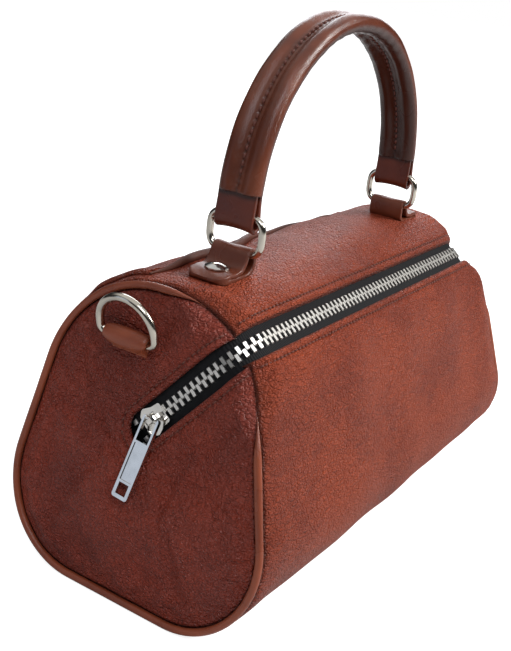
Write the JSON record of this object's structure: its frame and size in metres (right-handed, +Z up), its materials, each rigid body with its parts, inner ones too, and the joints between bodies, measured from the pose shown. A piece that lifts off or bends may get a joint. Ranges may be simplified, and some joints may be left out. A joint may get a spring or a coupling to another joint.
{
  "type": "barrel bag",
  "caption": "Small barrel-shaped leather handbag with a zip that runs over both ends, a padded arch handle on metal rings, and a strap ring at each end.",
  "frame": {"origin": "centre of the bounding box's bottom face, on the ground under the bag", "axes": "+X along the bag, with the closed slider's end at -X; the zip side (front) faces -Y; +Z up"},
  "size_m": [0.2796, 0.1343, 0.2438],
  "materials": {
    "wrap_leather": "pebbled grain, low sheen",
    "end_leather": "pebbled grain, low sheen",
    "trim_leather": "smooth, slight sheen",
    "bright_metal": "polished nickel plate",
    "tape_cloth": "woven black tape",
    "lining_cloth": "plain weave",
    "base_stiffener": "matte sheet",
    "filler_cord": "twisted cotton cord"
  },
  "bodies": {
    "bag": {"main_panel": "wrap_leather", "left_end_panel": "end_leather", "right_end_panel": "end_leather", "left_piping": "trim_leather", "right_piping": "trim_leather", "back_pocket": "wrap_leather", "pocket_binding": "trim_leather", "lining": "lining_cloth", "base_board": "base_stiffener", "zip_tape_upper": "tape_cloth", "zip_tape_lower": "tape_cloth", "zip_teeth_upper": "bright_metal", "zip_teeth_lower": "bright_metal", "zip_stops": "bright_metal", "left_handle_tab": "trim_leather", "right_handle_tab": "trim_leather", "left_tab_rivet": "bright_metal", "right_tab_rivet": "bright_metal", "left_dee_tab": "trim_leather", "right_dee_tab": "trim_leather"},
    "slider": {"zip_slider": "bright_metal"},
    "puller": {"zip_puller": "bright_metal"},
    "left_ring": {"left_handle_ring": "bright_metal"},
    "right_ring": {"right_handle_ring": "bright_metal"},
    "handle": {"handle_cover": "trim_leather", "handle_filler": "filler_cord", "left_strap_loop": "trim_leather", "right_strap_loop": "trim_leather"},
    "left_dee": {"left_dee_ring": "bright_metal"},
    "right_dee": {"right_dee_ring": "bright_metal"}
  },
  "joints": [
    {"name": "zip_slide", "type": "slide", "parent": "bag", "child": "slider", "axis": [0.146, -0.6359, 0.7578], "range_m": [0, 0.027], "deforming": ["zip_teeth_upper", "zip_teeth_lower"]},
    {"name": "puller_swing", "type": "hinge", "parent": "slider", "child": "puller", "pos_m": [-0.12391, -0.00355, 0.08131], "axis": [0.0165, 0.9962, 0.0856], "range_deg": [0, 100]},
    {"name": "left_ring_tilt", "type": "hinge", "parent": "bag", "child": "left_ring", "pos_m": [-0.0755, -0.003, 0.144], "axis": [0, 1, 0], "range_deg": [-55, 55]},
    {"name": "handle_tilt", "type": "hinge", "parent": "left_ring", "child": "handle", "pos_m": [-0.0755, -0.003, 0.161], "axis": [0, 1, 0], "range_deg": [-55, 55]},
    {"name": "right_ring_tilt", "type": "hinge", "parent": "bag", "child": "right_ring", "pos_m": [0.0755, -0.003, 0.144], "axis": [0, 1, 0], "range_deg": [-55, 55]},
    {"name": "left_dee_swing", "type": "hinge", "parent": "bag", "child": "left_dee", "pos_m": [-0.1214, 0.014, 0.11128], "axis": [0, -1, 0], "range_deg": [-18, 130]},
    {"name": "right_dee_swing", "type": "hinge", "parent": "bag", "child": "right_dee", "pos_m": [0.1214, 0.014, 0.11128], "axis": [0, 1, 0], "range_deg": [-18, 130]}
  ],
  "couplings": [
    {"joint": "handle_tilt", "follows": "left_ring_tilt", "ratio": -1},
    {"joint": "right_ring_tilt", "follows": "left_ring_tilt", "ratio": 1}
  ]
}
